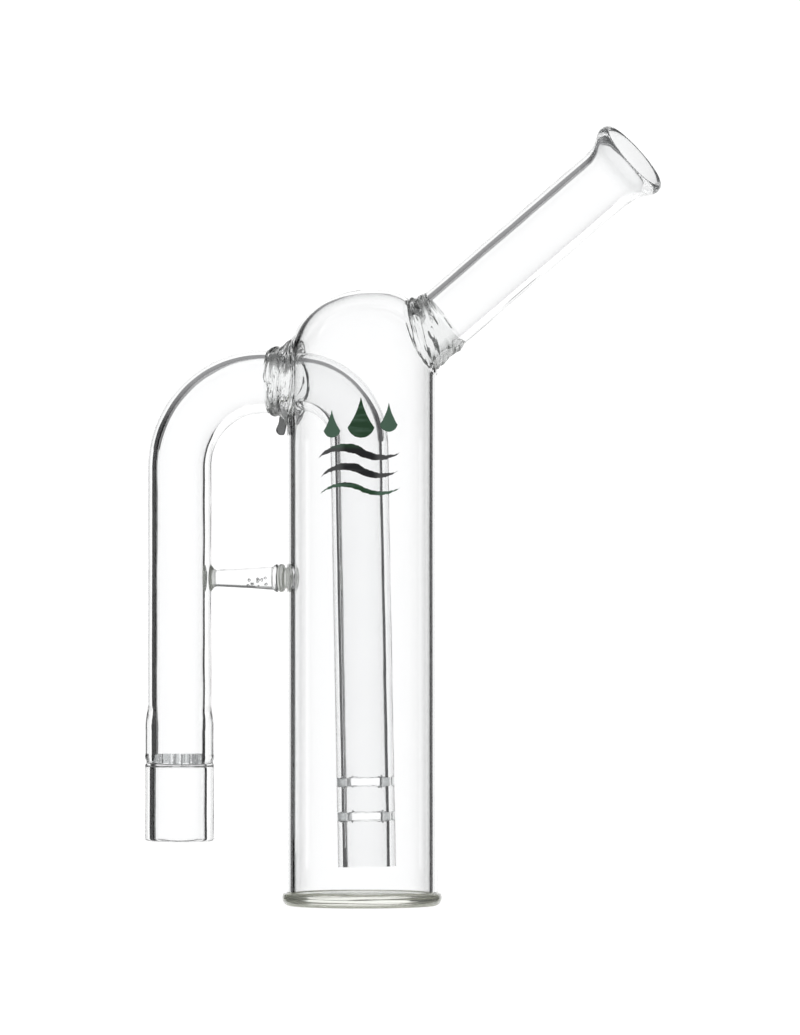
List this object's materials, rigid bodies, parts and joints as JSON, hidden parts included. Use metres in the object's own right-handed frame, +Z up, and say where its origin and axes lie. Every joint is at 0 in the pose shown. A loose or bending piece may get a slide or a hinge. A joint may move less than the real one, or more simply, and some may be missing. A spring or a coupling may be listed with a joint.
{
  "type": "glass water bubbler",
  "caption": "Clear glass water bubbler: upright tube chamber on a rounded foot, angled flared mouthpiece, bent inlet leg with glass screen, and an inner slotted downstem.",
  "frame": {"origin": "centre of the foot's flat underside, on the chamber's axis", "axes": "+Z up along the chamber's axis; +X towards the mouthpiece, the inlet leg is at -X; the printed mark faces -Y"},
  "size_m": [0.1387, 0.0422, 0.2066],
  "materials": {
    "clear_glass": "polished, fire-worked clear borosilicate",
    "weld_glass": "clear, wrinkled where it was fused by hand",
    "screen_glass": "clear, ground faces",
    "foot_glass": "thick clear glass with a faint yellow-green tint",
    "printed_ink": "fired ceramic print, dark green to black"
  },
  "bodies": {
    "root": {"foot_disc": "foot_glass", "foot_weld_bead": "foot_glass", "body_tube": "clear_glass", "mouthpiece_weld_collar": "weld_glass", "mouthpiece_tube": "clear_glass", "mouthpiece_lip": "clear_glass", "inlet_weld_collar": "weld_glass", "inlet_bend_tube": "clear_glass", "ring_seal": "weld_glass", "weld_drip": "weld_glass", "downstem_tube": "clear_glass", "bridge_rod": "weld_glass", "bridge_body_maria": "weld_glass", "bridge_body_seal": "weld_glass", "bridge_stem_pad": "weld_glass", "screen_disc": "screen_glass", "screen_weld_ring": "weld_glass", "leg_lower_tube": "clear_glass", "leg_weld_seam": "weld_glass", "heater_tip_tube": "clear_glass", "printed_decal": "printed_ink"}
  },
  "joints": []
}
